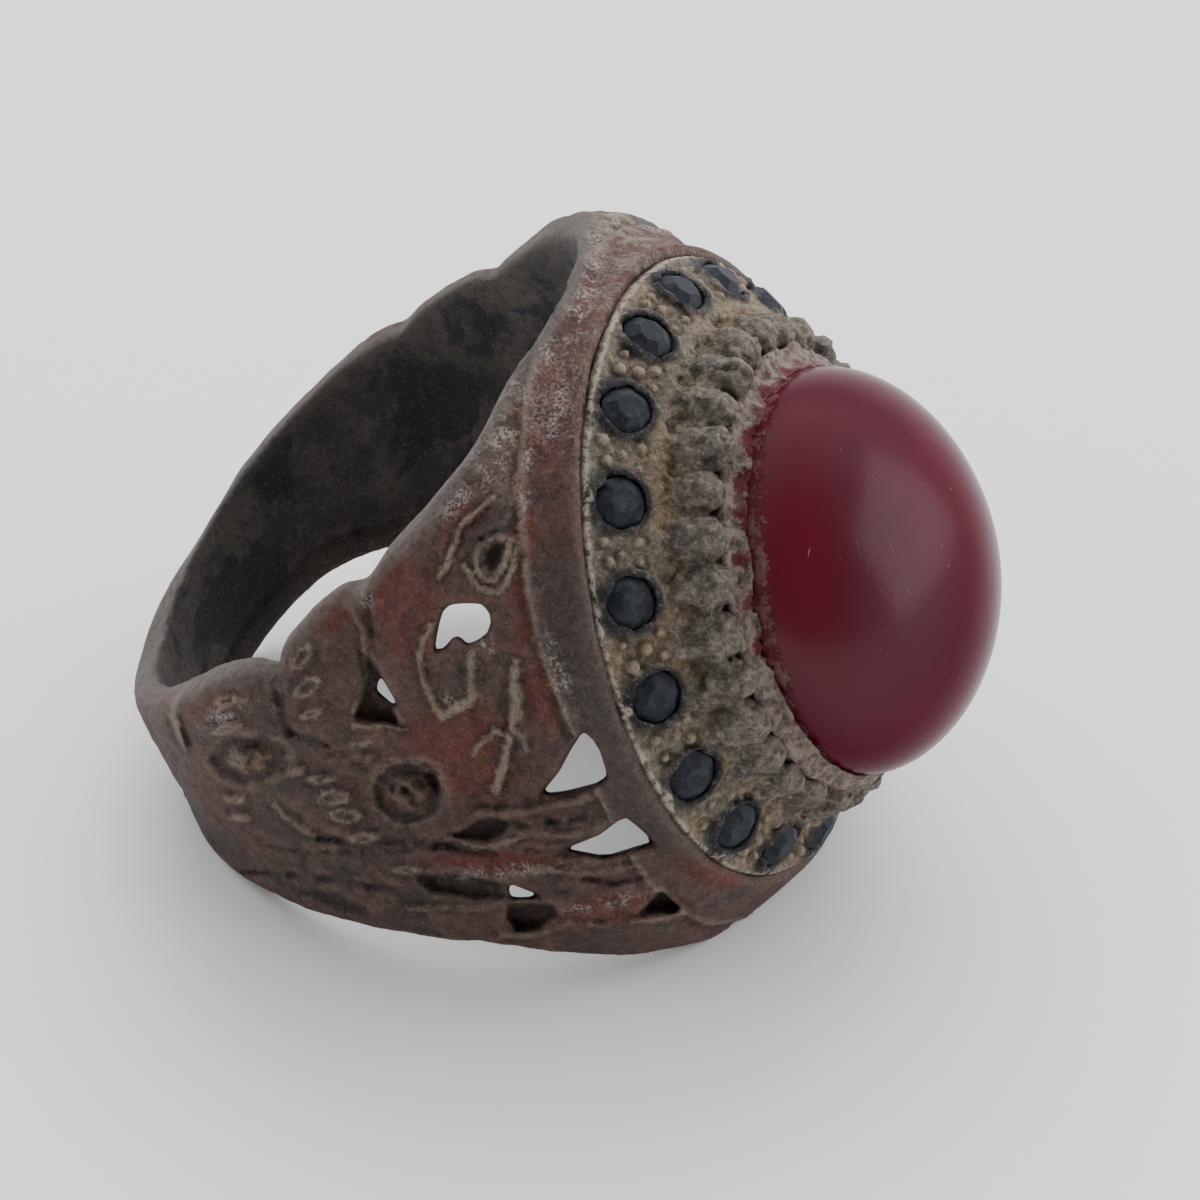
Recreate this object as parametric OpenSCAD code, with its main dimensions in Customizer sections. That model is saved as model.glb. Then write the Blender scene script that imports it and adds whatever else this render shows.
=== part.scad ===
// Cast copper-alloy ring with a domed brass crown, a red cabochon and 18 small dark stones.
// The ring lies on its side. Millimetres, Z up, origin at the centre of the finger hole.
//
// Inside, everything is drawn in the ring's own directions: x from the finger hole to the head,
// y across the hole, z along the finger. The last step tips the ring onto its side.

/* [Finger hole] */
// Radius of the finger hole
bore_r = 9.25; // [8:0.05:10.5]

/* [Band] */
// Wall of the band at its sides
side_wall = 1.1; // [0.8:0.05:2]
// Wall of the band at the back
back_wall = 1.05; // [0.9:0.05:2.5]
// Half width of the band at the back
back_half = 1.8; // [1.2:0.1:3]
// Half width of the ring at its head, on the side that it lies on
head_half = 10.7; // [10.4:0.1:12]
// Height of the raised lines and rosettes
relief = 0.25; // [0.1:0.05:0.5]
// Depth of the cut-in leaves and hollows
engrave = 0.35; // [0.1:0.05:0.7]

/* [Head] */
// Distance from the finger hole's centre to the plane of the crown's edge
head_u = 10.15; // [10:0.05:12]
// Lean of the head towards the side that the ring lies on, in degrees
head_tilt = 2.8; // [0:0.1:6]
// Radius of the collar under the crown
collar_r = 10.45; // [10.2:0.05:11]
// Depth of the collar
collar_h = 1.4; // [0.6:0.1:2.5]

/* [Crown] */
// Radius of the crown plate
plate_r = 10; // [9.5:0.05:10.3]
// Thickness of the plate at its edge
plate_edge = 0.3; // [0.2:0.05:0.8]
// Number of lobes round the main stone
lobe_count = 30; // [20:1:34]
// Radius of one lobe
lobe_r = 0.7; // [0.5:0.02:0.8]
// Straight length of one lobe
lobe_len = 1.25; // [1:0.05:2.2]
// Clear radius inside the lobes
cavity_r = 7.15; // [6.5:0.05:7.3]

/* [Main stone] */
// Radius of the cabochon
stone_r = 6.55; // [5.5:0.05:6.8]
// Height of the dome above its widest line
dome_h = 4.7; // [3:0.1:6]
// Height of the widest line above the plane of the crown's edge
stone_h = 4.3; // [3.6:0.1:5]
// Fullness of the dome: 2 is an ellipse, less is more pointed
dome_power = 1.85; // [1.5:0.05:2.4]

/* [Side stones] */
// Number of side stones
side_count = 18; // [12:1:20]
// Radius of a side stone
side_r = 0.88; // [0.6:0.02:0.95]
// Radius of the circle that the side stones stand on
side_ring = 9.1; // [8.9:0.05:9.3]

/* [Hidden] */
$fn = 48;
gap = 0.05;
big = 40;
cavity_floor = 1.2;
// slope of the crown's rim, from its edge up to the lobes
slope = 41;
rim_in = 8.15;
rim_top = plate_edge + (plate_r - rim_in) * tan(slope);
side_h = plate_edge + (plate_r - side_ring) * tan(slope);
side_first = 1.8;
// the bezel sits a little off the crown's centre, and the stone a little more
bezel_off = [0.25, -0.1, 0];
stone_off = [0.65, -0.28, 0];
// the lobes close in over the cavity, to a throat just wider than the stone
throat_off = (bezel_off + stone_off) / 2;
throat_r = 7;
throat_h = 2.9;

// Outline of the ring seen from the side. Columns: distance towards the head, half width.
// The upper edge is scalloped into leaf tips, and stands a little wider on the far shoulder.
up_near = [
  [-8.2, 2.9], [-6.2, 3.7], [-4.1, 4.6], [-2.2, 5.35], [-1.1, 5.65], [-0.15, 5.2],
  [0.3, 6.05], [1, 6.5], [1.9, 6.95], [3, 7.35], [3.45, 7.05], [4.6, 7.95], [6.1, 8.75],
  [7.5, 9.5], [8.6, 10.3], [9.7, 11.05]
];
up_far = [
  [-8.2, 3.8], [-6.4, 4.5], [-4.4, 5.25], [-3, 5.6], [-2.45, 5.55], [-1.9, 5.95], [-0.6, 6.4],
  [0.7, 6.85], [1.55, 6.8], [2.2, 7.2], [3.9, 8.05], [4.9, 8.6], [6.1, 9.1], [7.5, 9.75],
  [8.6, 10.5], [9.7, 11.1]
];
// the two places where the lower edge touches the ground, and the slope between them
low_back = [-bore_r - back_wall, back_half];
low_head = [9.5, head_half];
lie = atan2(low_head[1] - low_back[1], low_head[0] - low_back[0]);
function ground(u) = low_back[1] + (u - low_back[0]) * tan(lie);
// Columns: distance towards the head, height of the edge above the ground line. The lower edge
// of the far shoulder stands higher behind the finger.
low_near = [[-8.7, 0], [-5.2, 0.7], [-2.7, 1.1], [0, 1.25], [2.7, 1.3], [5, 1.1], [7.9, 0]];
low_far = [
  [-10, 0], [-9.5, 0.5], [-9.1, 1.05], [-8.3, 1.8], [-7.3, 2.5], [-6.3, 2.85], [-4.6, 3.15],
  [-2.5, 3.1], [0, 2.7], [2.7, 2], [5, 1.3], [7.9, 0]
];

// Bell that rounds the head. Columns: height above the crown's edge plane, radius.
bell_rows = [[0, 10.15], [-0.35, 10.4], [-1, 10.8], [-2.2, 11.6], [-4.5, 12.15], [-9, 12.35]];
bell_off = [-0.2, 0, 0];

side_names = [for (i = [1 : side_count]) str("side_stone_", i < 10 ? "0" : "", i)];

// Openings and relief of the shoulders are drawn on a plane that faces the shoulder aslant.
// Columns of each table: x and y on that plane, measured from the finger hole's centre.
slant = [59.6, 23.6, 18.6];
open_bud = [[-0.3, -1.1], [-0.1, -0.2], [0.1, 0.4], [0.7, 0.55], [1.25, 0.5], [1.5, 0.1],
  [1.45, -0.5], [0.85, -0.8], [0.4, -0.6], [0.1, -1.05]];
open_sliver = [[-2.05, -1.75], [-1.75, -1.85], [-1.45, -2.65], [-2.05, -2.6]];
open_upper = [[4.35, -3.55], [4.75, -4.25], [5.1, -5], [4.1, -5.3], [3.1, -5.5], [3.65, -4.7]];
open_lower = [[5.7, -6.25], [6.6, -7.1], [5.85, -7.4], [5.05, -7.55], [3.8, -7.3], [4.6, -6.9]];
open_slit = [[2, -8.4], [2.1, -8.9], [2.5, -8.95], [3.05, -8.8]];
hollow_tip = [[6.5, -9.7], [7.1, -8.9], [7.7, -8.1], [9.1, -8.7], [8.05, -9.25]];
hollow_slit = [[1.7, -9.05], [3.4, -8.95], [3.6, -9.7], [2.35, -10.1], [1.6, -9.75]];
hollow_sliver = [[-2.5, -1.4], [-2.1, -1.2], [-1.3, -2.2], [-1.3, -3.2], [-2.2, -2.9]];
hollow_leaf = [[0.1, -6.75], [0.9, -6.4], [1.7, -6.65], [1, -7.05]];
hollow_long = [[-4.8, -8.6], [-3.6, -8.75], [-2.5, -9.3], [-3.5, -9.35]];
tear = [[1, 1.2], [0.8, 1.85], [1.1, 2.4], [1.55, 2.75], [2, 2.3], [2.15, 1.7], [1.9, 1.2],
  [1.5, 0.95]];

// Raised lines: a bent leaf edge, a stem with two branches, a loop, and the collar's border.
line_leaf = [[0, 1.45], [0.3, 2.3], [0.65, 3], [1.05, 3.35], [1.5, 3.7]];
line_stem = [[2.25, -1.3], [2.1, -3.2], [1.85, -4.3], [1.65, -5.4]];
line_twig_a = [[1.95, -3.6], [1.45, -3.95], [1.05, -4.3]];
line_twig_b = [[2.05, -3.3], [2.3, -3.8], [2.5, -4.2]];
line_loop = [[-0.6, -1], [-0.5, -1.9], [-0.3, -2.7], [0.1, -3.05], [0.5, -3], [0.85, -2.6],
  [0.95, -1.1]];
line_border = [[3.05, 3.65], [3, 2.1], [3.05, 0.6], [3.3, -0.65], [3.5, -1.9], [3.85, -2.9]];

// Columns: x, y, radius of a rosette
rosettes = [[-6.4, -4.5, 0.95], [-1.2, -5.25, 0.95]];
// Columns: x, y, half length, half width, turn in degrees of a raised petal
petals = [
  [-4.55, -1.15, 0.45, 0.22, 50], [-4.4, -2.05, 0.45, 0.22, 50], [-4.2, -2.95, 0.5, 0.22, 60],
  [-5.6, -2.3, 0.4, 0.22, 40], [-7.1, -3.45, 0.5, 0.25, 30], [-4.15, -5, 0.5, 0.25, 0],
  [-3.5, -5.6, 0.5, 0.22, -15], [-3.2, -6.3, 0.5, 0.22, -20], [-6.8, -5.8, 0.5, 0.22, -10],
  [-6.8, -6.5, 0.5, 0.22, -15], [-0.9, -7.9, 0.6, 0.25, -10], [3.9, -8.2, 0.8, 0.22, 10]
];

laid() shank();
laid() on_head() crown_plate();
laid() on_head() resin_bedding();
laid() on_head() main_stone();
for (i = [0 : side_count - 1])
  laid() on_head() at_seat(i) side_stone();

// tips the ring from its own directions onto its side
module laid() {
  rotate([0, -lie, 0]) children();
}

// children are drawn with z out of the head; x then points down to the ground side
module on_head() {
  translate([head_u, 0, 0]) rotate([0, 90 + head_tilt, 0]) children();
}

// round the back, straight along the sides
module plan(grow) {
  r = bore_r + side_wall + grow;
  translate([side_wall - back_wall, 0]) circle(r = r, $fn = 96);
  translate([side_wall - back_wall, -r]) square([13, 2 * r]);
}

module side_outline(up_edge, low_edge) {
  polygon(concat(
    [[low_back[0] - 1, -ground(low_back[0] - 1)]],
    [for (p = low_edge) [p[0], p[1] - ground(p[0])]],
    [[low_head[0] + 3, -ground(low_head[0] + 3)], [low_head[0] + 3, 11.05]],
    [for (i = [len(up_edge) - 1 : -1 : 0]) up_edge[i]],
    [[low_back[0] - 1, back_half]]
  ));
}

module bell(grow) {
  translate(bell_off) rotate_extrude($fn = 96)
    polygon(concat(
      [for (p = bell_rows) [p[1] + grow, p[0]]],
      [[12.4 + grow, -26], [0, -26], [0, 0]]
    ));
}

module metal(grow) {
  intersection() {
    translate([0, 0, -15]) linear_extrude(30) plan(grow);
    union() {
      rotate([90, 0, 0]) linear_extrude(15) side_outline(up_near, low_near);
      translate([0, 15, 0]) rotate([90, 0, 0]) linear_extrude(15)
        side_outline(up_far, low_far);
    }
    on_head() bell(grow);
  }
}

// a flat shape pushed through one shoulder, and through the other in mirror image
module through_shoulders() {
  for (side = [0, 1])
    mirror([0, side, 0]) rotate(slant) translate([0, 0, 2]) linear_extrude(22) children();
}

function unit(v) = v / norm(v);
function run(p, i) = unit(p[min(i + 1, len(p) - 1)] - p[max(i - 1, 0)]);
function beside(p, i, d) = p[i] + d * [-run(p, i)[1], run(p, i)[0]];

// a line of even width through the given points
module stroke(p, wide) {
  n = len(p) - 1;
  polygon(concat(
    [for (i = [0 : n]) beside(p, i, wide / 2)],
    [for (i = [n : -1 : 0]) beside(p, i, -wide / 2)]
  ));
}

module oval(p) {
  translate([p[0], p[1]]) rotate(p[4])
    polygon([for (a = [0 : 30 : 330]) [p[2] * cos(a), p[3] * sin(a)]]);
}

module raised_shapes() {
  for (p = [line_leaf, line_stem, line_twig_a, line_twig_b, line_loop, line_border])
    stroke(p, 0.28);
  for (p = petals) oval(p);
  for (p = rosettes)
    translate([p[0], p[1]]) difference() {
      circle(r = p[2], $fn = 12);
      circle(r = p[2] - 0.3, $fn = 12);
    }
}

module sunk_shapes() {
  for (p = [tear, hollow_sliver, hollow_leaf, hollow_long, hollow_slit, hollow_tip])
    polygon(p);
}

module openings() {
  for (p = [open_bud, open_sliver, open_upper, open_lower, open_slit]) polygon(p);
}

module shank() {
  color([0.36, 0.25, 0.20]) difference() {
    union() {
      metal(0);
      intersection() {
        metal(relief);
        through_shoulders() raised_shapes();
      }
      on_head() translate([0, 0, -collar_h]) cylinder(r = collar_r, h = collar_h - gap, $fn = 96);
    }
    on_head() translate([0, 0, -gap]) cylinder(r = 20, h = 5);
    difference() {
      through_shoulders() sunk_shapes();
      metal(-engrave);
    }
    through_shoulders() openings();
    translate([0, 0, -big / 2]) cylinder(r = bore_r, h = big, $fn = 96);
  }
}

// places children on the sloping rim, z out of the seat
module at_seat(i) {
  rotate(180 + side_first + i * 360 / side_count)
    translate([side_ring, 0, side_h]) rotate([0, slope, 0]) children();
}

module lobe(len) {
  translate([7.6, 0, rim_top - 0.1]) rotate([0, -18, 0]) {
    cylinder(r = lobe_r, h = len, $fn = 24);
    translate([0, 0, len]) sphere(r = lobe_r, $fn = 24);
  }
}

module grains(turn) {
  // columns: distance from the crown's centre, turn in degrees
  for (g = [[8.6, -2.2], [8.6, 2.2], [9.05, 0]])
    rotate(turn + g[1])
      translate([g[0], 0, plate_edge + (plate_r - g[0]) * tan(slope)]) sphere(r = 0.18, $fn = 16);
}

module crown_plate() {
  color([0.47, 0.41, 0.33]) difference() {
    union() {
      rotate_extrude($fn = 96)
        polygon([[0, 0], [plate_r, 0], [plate_r, plate_edge], [rim_in, rim_top],
          [0, rim_top]]);
      translate(bezel_off) {
        translate([0, 0, rim_top - 0.4]) cylinder(r1 = 8.05, r2 = 7.65, h = 1.5, $fn = 96);
        // the lobes are a little shorter on the far side
        for (i = [0 : lobe_count - 1]) let(turn = i * 360 / lobe_count)
          rotate(turn) lobe(lobe_len - 0.3 * max(0, sin(turn)));
      }
      for (i = [0 : side_count - 1]) grains(180 + side_first + (i + 0.5) * 360 / side_count);
    }
    translate(bezel_off + [0, 0, cavity_floor])
      cylinder(r = cavity_r, h = throat_h - cavity_floor, $fn = 96);
    translate(throat_off + [0, 0, cavity_floor + 0.1]) cylinder(r = throat_r, h = 5, $fn = 96);
    for (i = [0 : side_count - 1])
      at_seat(i) translate([0, 0, -0.6]) cylinder(r = side_r + gap, h = 2, $fn = 24);
  }
}

// the cabochon: tapered foot in the setting, widest line, then the dome
module stone_form(grow) {
  translate(stone_off) rotate_extrude($fn = 72)
    polygon(concat(
      [[0, 1.7 - grow], [5.9 + grow, 1.7 - grow], [6.3 + grow, 2.8]],
      [for (t = [0 : 7.5 : 82.5])
        [(stone_r + grow) * pow(cos(t), 2 / dome_power),
         stone_h + (dome_h + grow) * pow(sin(t), 2 / dome_power)]],
      [[0, stone_h + dome_h + grow]]
    ));
}

module resin_bedding() {
  color([0.45, 0.16, 0.16]) difference() {
    union() {
      translate(bezel_off + [0, 0, cavity_floor + gap])
        cylinder(r = cavity_r - gap, h = throat_h - cavity_floor - 2 * gap, $fn = 72);
      translate(throat_off) rotate_extrude($fn = 72)
        polygon([[0, 2], [throat_r - gap, 2], [throat_r - gap, 3.6], [6.6, 3.95], [0, 3.95]]);
    }
    stone_form(gap);
  }
}

module main_stone() {
  color([0.45, 0.03, 0.09]) stone_form(0);
}

// table, eight star and eight main facets above the girdle, eight facets below
module side_stone() {
  color([0.06, 0.06, 0.09]) {
    intersection() {
      translate([0, 0, -0.02]) cylinder(r1 = side_r, r2 = side_r * 0.5, h = 0.32, $fn = 8);
      rotate(22.5) translate([0, 0, -0.02])
        cylinder(r1 = side_r * 1.02, r2 = side_r * 0.62, h = 0.32, $fn = 8);
    }
    translate([0, 0, -0.5]) cylinder(r1 = side_r * 0.15, r2 = side_r * 0.9, h = 0.5, $fn = 8);
  }
}
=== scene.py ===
"""Cast ring with a domed brass crown, a red cabochon and 18 small dark stones, lying on its side.

Lengths are millimetres until a mesh is made. "Ring" coordinates are u from the finger hole to
the head, v across the hole, w along the finger. "Head" coordinates have z out of the head.
The casting, the crown and the bedding are carved as distance fields on a grid of voxels.
"""
import math

import bpy
import numpy as np
import openvdb as vdb
from mathutils import Matrix, Vector


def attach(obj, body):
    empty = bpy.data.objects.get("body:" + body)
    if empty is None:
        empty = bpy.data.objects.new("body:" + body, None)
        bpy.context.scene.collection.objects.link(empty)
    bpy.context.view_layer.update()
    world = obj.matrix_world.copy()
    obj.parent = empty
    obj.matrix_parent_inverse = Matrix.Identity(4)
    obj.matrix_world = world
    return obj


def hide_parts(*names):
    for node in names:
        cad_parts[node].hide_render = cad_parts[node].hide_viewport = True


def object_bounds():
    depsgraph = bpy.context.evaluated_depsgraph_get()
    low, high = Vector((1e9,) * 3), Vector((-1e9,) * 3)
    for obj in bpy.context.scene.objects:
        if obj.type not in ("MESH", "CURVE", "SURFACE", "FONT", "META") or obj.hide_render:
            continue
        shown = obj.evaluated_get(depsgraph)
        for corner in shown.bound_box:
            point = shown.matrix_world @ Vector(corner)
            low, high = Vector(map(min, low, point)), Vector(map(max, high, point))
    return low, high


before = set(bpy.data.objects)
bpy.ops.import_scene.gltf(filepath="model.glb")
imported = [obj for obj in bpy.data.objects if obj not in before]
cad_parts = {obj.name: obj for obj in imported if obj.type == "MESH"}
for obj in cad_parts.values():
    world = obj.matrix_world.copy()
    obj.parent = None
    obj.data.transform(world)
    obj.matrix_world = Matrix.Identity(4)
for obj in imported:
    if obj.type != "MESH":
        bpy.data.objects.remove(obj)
cad_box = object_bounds()

MM = 0.001
FAR = 1e3  # more than any distance that is measured

# Sizes, as in the solids
BORE_R = 9.25
SIDE_WALL = 1.1
BACK_WALL = 1.05
LIE = 24.2037  # degrees that the ring is tipped from upright
HEAD_U = 10.15
HEAD_TILT = 2.8
COLLAR_R = 10.45
COLLAR_H = 1.4
PLATE_R = 10.0
PLATE_EDGE = 0.3
SLOPE = math.radians(41)
RIM_IN = 8.15
RIM_TOP = PLATE_EDGE + (PLATE_R - RIM_IN) * math.tan(SLOPE)
CAVITY_R = 7.15
CAVITY_FLOOR = 1.2
BEZEL_OFF = (0.25, -0.1)
STONE_OFF = (0.65, -0.28)
THROAT_OFF = (0.45, -0.19)
THROAT_R = 7.0
THROAT_H = 2.9
STONE_R = 6.55
STONE_H = 4.3
DOME_H = 4.7
DOME_POWER = 1.85
STONE_BOTTOM = 1.7
STONE_BOTTOM_R = 5.9
STONE_WAIST = 2.8
STONE_WAIST_R = 6.3
# Side of the dome painted a clearer deep red as a glow of light through the stone, and half its
# spread, in degrees round the head
GLOW_TURN = 231
GLOW_SPREAD = 34
SIDE_COUNT = 18
SIDE_R = 0.88
SIDE_RING = 9.1
SIDE_FIRST = 1.8
SIDE_PITCH = 360 / SIDE_COUNT
# Grains in one gap: (radius on the crown, degrees from the middle of the gap)
GRAINS = [(8.55, -2.2), (8.6, 2.3), (9.05, 0.1), (9.5, -2.3), (9.52, 2)]
LOBES = 30
LOBE_RING = 7.63
LOBE_LEAN = math.radians(18)

RING_TO_WORLD = Matrix.Rotation(math.radians(-LIE), 4, "Y")
HEAD_TO_WORLD = (RING_TO_WORLD @ Matrix.Translation((HEAD_U, 0, 0))
                 @ Matrix.Rotation(math.radians(90 + HEAD_TILT), 4, "Y"))


# Distance-field tools

def grid_of(corner, top, voxel):
    """Coordinates along each axis of a grid, shaped to broadcast, and the grid's shape."""
    rows = [np.arange(lo, hi + voxel, voxel, dtype=np.float32) for lo, hi in zip(corner, top)]
    return (*np.ix_(*rows), tuple(row.size for row in rows))


def smooth_max(a, b, k):
    """The larger of two distances, with the edge between them rounded by about k."""
    h = np.clip(0.5 + 0.5 * (a - b) / k, 0, 1)
    return b + (a - b) * h + k * h * (1 - h)


def smooth_min(a, b, k):
    """The smaller of two distances, rounded in the same way."""
    return -smooth_max(-a, -b, k)


def step(lo, hi, x):
    """0 below lo, 1 above hi, smooth between."""
    t = np.clip((x - lo) / (hi - lo), 0, 1)
    return t * t * (3 - 2 * t)


def hump(x, width):
    """1 where x is 0, falling smoothly to 0 on both sides over about width."""
    return np.exp(-(x / width) ** 2)


def noise(shape, cell, seed):
    """Smooth random field of values from -1 to 1, with features of about cell voxels."""
    rng = np.random.default_rng(seed)
    counts = [int(n / cell) + 2 for n in shape]
    field = rng.uniform(-1, 1, counts).astype(np.float32)
    for place, n in enumerate(shape):
        t = np.arange(n, dtype=np.float32) / cell
        low = t.astype(int)
        f = t - low
        f = (f * f * (3 - 2 * f)).reshape([-1 if i == place else 1 for i in range(3)])
        field = np.take(field, low, place) * (1 - f) + np.take(field, low + 1, place) * f
    return field


def polyline_distance(x, y, points):
    """Distance to a line that runs straight from point to point."""
    best = np.full(np.broadcast(x, y).shape, FAR, np.float32)
    for (x0, y0), (x1, y1) in zip(points[:-1], points[1:]):
        dx, dy = x1 - x0, y1 - y0
        t = np.clip(((x - x0) * dx + (y - y0) * dy) / (dx * dx + dy * dy), 0, 1)
        best = np.minimum(best, np.hypot(x - x0 - t * dx, y - y0 - t * dy))
    return best


def polygon_distance(x, y, points):
    """Signed distance to a closed outline, negative inside."""
    inside = np.zeros(np.broadcast(x, y).shape, bool)
    for (x0, y0), (x1, y1) in zip(points, points[1:] + points[:1]):
        if y0 != y1:
            crosses = (y0 > y) != (y1 > y)
            inside ^= crosses & (x < (x1 - x0) * (y - y0) / (y1 - y0) + x0)
    d = polyline_distance(x, y, points + points[:1])
    return np.where(inside, -d, d)


def oval_distance(x, y, cx, cy, rx, ry, turn):
    """About the distance to an oval, negative inside."""
    c, s = math.cos(math.radians(turn)), math.sin(math.radians(turn))
    p, q = ((x - cx) * c + (y - cy) * s) / rx, ((y - cy) * c - (x - cx) * s) / ry
    return (np.hypot(p, q) - 1) * min(rx, ry)


def without_crumbs(points, faces, fewest=200):
    """Drops loose bits of a surface that have fewer points than fewest."""
    parent = list(range(len(points)))

    def root(i):
        while parent[i] != i:
            parent[i] = parent[parent[i]]
            i = parent[i]
        return i

    for face in faces:
        first = root(face[0])
        for i in face[1:]:
            parent[root(i)] = first
    part = np.array([root(i) for i in range(len(points))])
    keep = np.bincount(part, minlength=len(points))[part] >= fewest
    place = np.cumsum(keep) - 1
    return points[keep], [tuple(int(place[i]) for i in f) for f in faces if keep[f[0]]]


def new_piece(name, points, faces):
    """A smooth-shaded object of points in metres."""
    mesh = bpy.data.meshes.new(name)
    mesh.from_pydata(points, [], faces)
    mesh.update()
    mesh.polygons.foreach_set("use_smooth", [True] * len(mesh.polygons))
    thing = bpy.data.objects.new(name, mesh)
    bpy.context.scene.collection.objects.link(thing)
    return thing


def mesh_from_field(name, field, corner, voxel, to_world, adaptivity=0.0):
    """The zero surface of a distance field as a smooth-shaded object; also returns its points."""
    grid = vdb.FloatGrid(3.0)
    grid.copyFromArray(np.ascontiguousarray(field, dtype=np.float64))
    grid.transform = vdb.createLinearTransform(voxelSize=1.0)
    points, tris, quads = grid.convertToPolygons(isovalue=0.0, adaptivity=adaptivity)
    faces = [tuple(int(i) for i in f[::-1]) for f in list(tris) + list(quads)]
    points, faces = without_crumbs(points, faces)
    local = points * voxel + np.array(corner)
    m = np.array(to_world)
    world = (local @ m[:3, :3].T + m[:3, 3]) * MM
    return new_piece(name, world.tolist(), faces), local


def bend_of(field, corner, voxel, p, reach=2):
    """How strongly the surface bends at points p: positive on edges, negative in hollows."""
    inner = field[reach:-reach, reach:-reach, reach:-reach]
    total = -6 * inner
    for place in range(3):
        for shift in (0, 2 * reach):
            cut = [slice(reach, -reach)] * 3
            cut[place] = slice(shift, shift + inner.shape[place])
            total = total + field[tuple(cut)]
    at = np.round((p - np.array(corner)) / voxel).astype(int) - reach
    at = np.clip(at, 0, np.array(inner.shape) - 1)
    return total[at[:, 0], at[:, 1], at[:, 2]] / (reach * reach * voxel)


def sharp(bend):
    """Mask of the places that bend strongly the positive way."""
    return bend * 1.1 - 0.05


def paint(thing, **masks):
    """Stores masks (0 to 1 at each point) as attributes that the material reads."""
    for name, values in masks.items():
        layer = thing.data.attributes.new(name, "FLOAT", "POINT")
        layer.data.foreach_set("value", np.clip(values, 0, 1).astype(np.float32))


# Ornament of the shoulders. It is charted on a plane that faces the shoulder aslant: x to the
# head, y up, from the finger hole's centre. Both shoulders carry it, as mirror images.
SLANT_X = (0.8685, 0.2925, -0.4002)
SLANT_Y = (0.1656, 0.5897, 0.7905)
CHART_STEP = 0.04
CHART_X = np.arange(-11, 13, CHART_STEP, dtype=np.float32)
CHART_Y = np.arange(-14, 14, CHART_STEP, dtype=np.float32)

OPENINGS = {
    "bud": [(-0.25, -1), (-0.2, -0.6), (-0.1, -0.1), (0.05, 0.35), (0.4, 0.47), (1.2, 0.47),
            (1.45, 0.2), (1.5, -0.05), (1.45, -0.35), (1.25, -0.55), (0.75, -0.78), (0.6, -0.58),
            (0.4, -0.5), (0.25, -0.6), (0.1, -0.84)],
    "sliver": [(-2, -1.8), (-1.75, -2.2), (-1.45, -2.72), (-1.62, -2.66), (-2.12, -2.22)],
    "upper": [(4.4, -3.52), (4.85, -3.95), (5.15, -4.95), (5, -5.15), (3.85, -5.45),
              (3.1, -5.52), (3.7, -4.75), (4, -4.15)],
    "lower": [(5.7, -6.25), (6.15, -6.6), (6.65, -7.1), (6.1, -7.25), (5.1, -7.55),
              (3.8, -7.3), (4.9, -6.85)],
    "slit": [(2.02, -8.42), (2.08, -8.88), (2.5, -8.88), (3.05, -8.82)],
}

# Hollows: (outline, depth)
HOLLOWS = [
    ([(1.3, 1.65), (1.55, 1.45), (1.85, 1.8), (1.95, 2.35), (1.6, 2.3), (1.35, 2.05)], 0.3),
    ([(-2.6, -0.8), (-2.1, -1.4), (-1.55, -2.7), (-1.35, -3.35), (-2.75, -3.2), (-2.6, -1.6)], 0.5),
    ([(0, -6.85), (0.5, -6.75), (1, -6.38), (1.6, -6.3), (2.1, -6.45), (1.9, -6.8),
      (1.4, -7.05), (0.8, -7)], 0.4),
    ([(-1, -8.15), (0.5, -8), (1.9, -8.4), (1.95, -8.85), (1, -8.95), (-0.5, -8.7)], 0.3),
    ([(1.95, -9.1), (3.4, -9.02), (3.6, -9.4), (3, -9.95), (2.25, -10), (1.95, -9.6)], 0.4),
    ([(6.15, -9.45), (6.6, -8.8), (7.1, -8.2), (7.6, -8.15), (8.9, -8.75), (8.2, -9.1),
      (7.2, -9.4)], 0.6),
    ([(-4.9, -8.7), (-3.9, -8.65), (-2.6, -9.2), (-2.5, -9.6), (-3.6, -9.3)], 0.16),
    ([(3.4, -8.7), (3.8, -8.62), (4.1, -8.68), (3.8, -8.8)], 0.2),
    ([(4.6, -9.6), (5, -9.5), (5.35, -9.55), (5, -9.68)], 0.2),
    ([(-0.75, -4.95), (-0.4, -4.8), (-0.15, -5.1), (-0.3, -5.6), (-0.45, -5.3)], 0.3),
    ([(-2.25, -5.1), (-2.05, -5.3), (-1.95, -6), (-2.15, -5.7)], 0.25),
]

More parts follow.
